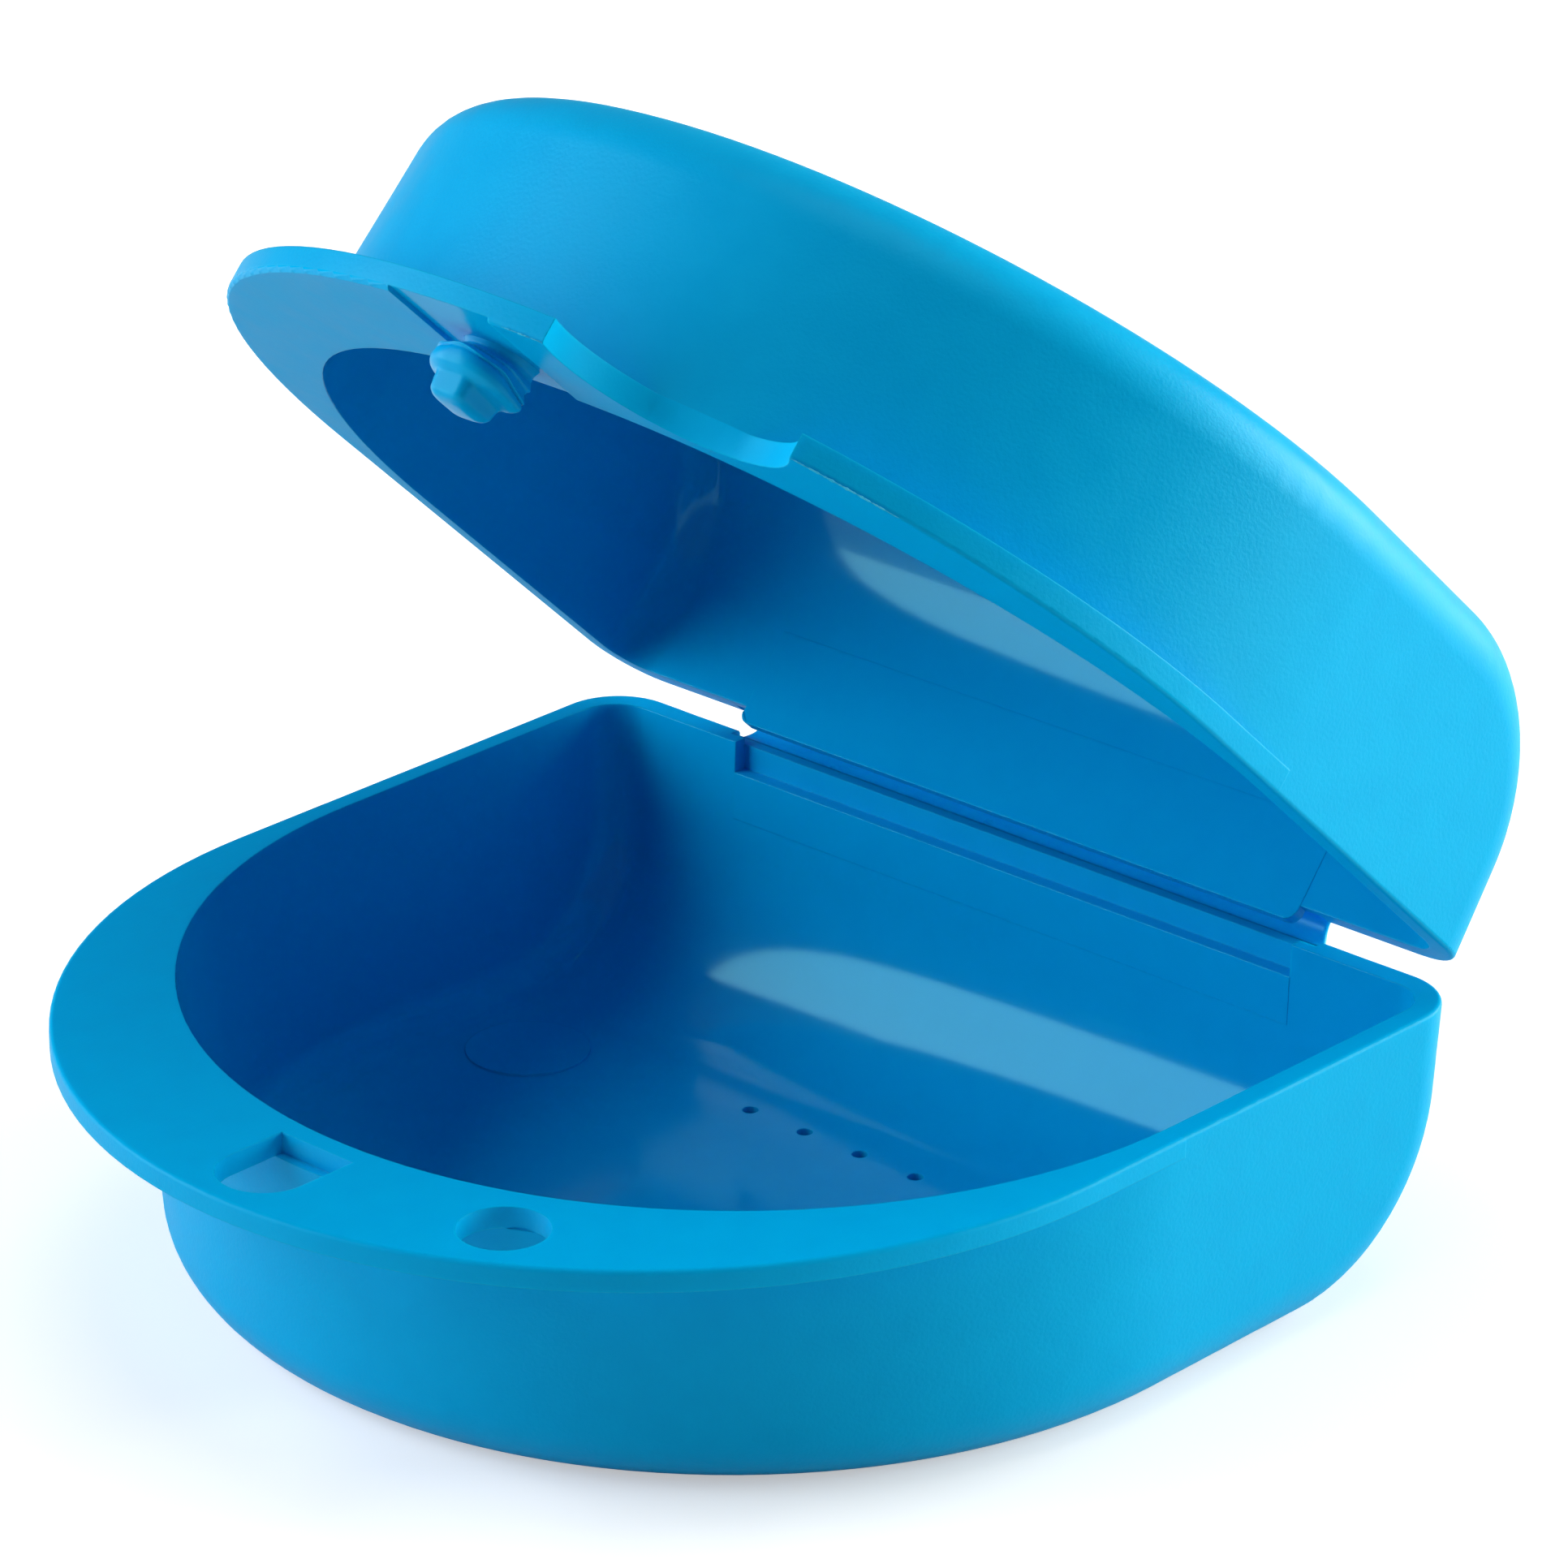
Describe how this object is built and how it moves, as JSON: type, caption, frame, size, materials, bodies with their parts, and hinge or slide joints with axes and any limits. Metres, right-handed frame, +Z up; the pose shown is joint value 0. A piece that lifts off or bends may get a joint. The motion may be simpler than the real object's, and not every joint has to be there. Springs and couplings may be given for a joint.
{
  "type": "denture case",
  "caption": "Clamshell storage case with a D-shaped vented tray, a domed lid on a living hinge, a snap stud with its keeper hole, a cord hole and a thumb scoop.",
  "frame": {"origin": "centre of the tray's flat underside, midway between its back wall and the middle of its front wall", "axes": "+Z up out of the tray, -Y towards the front ledge and latch, +Y towards the hinge, +X towards the cord hole"},
  "size_m": [0.0848, 0.0916, 0.0859],
  "materials": {
    "blue_polypropylene": "fine spark-eroded matte outside, polished inside",
    "blue_polypropylene_film": "smooth, slightly translucent where thin"
  },
  "bodies": {
    "tray": {"base_tray": "blue_polypropylene", "hinge_web": "blue_polypropylene_film"},
    "lid": {"lid_cover": "blue_polypropylene", "latch_stud": "blue_polypropylene"}
  },
  "joints": [
    {"name": "lid_hinge", "type": "hinge", "parent": "tray", "child": "lid", "pos_m": [0, 0.03868, 0.02135], "axis": [-1, 0, 0], "range_deg": [-42.8, 137.2], "deforming": ["hinge_web"]}
  ]
}
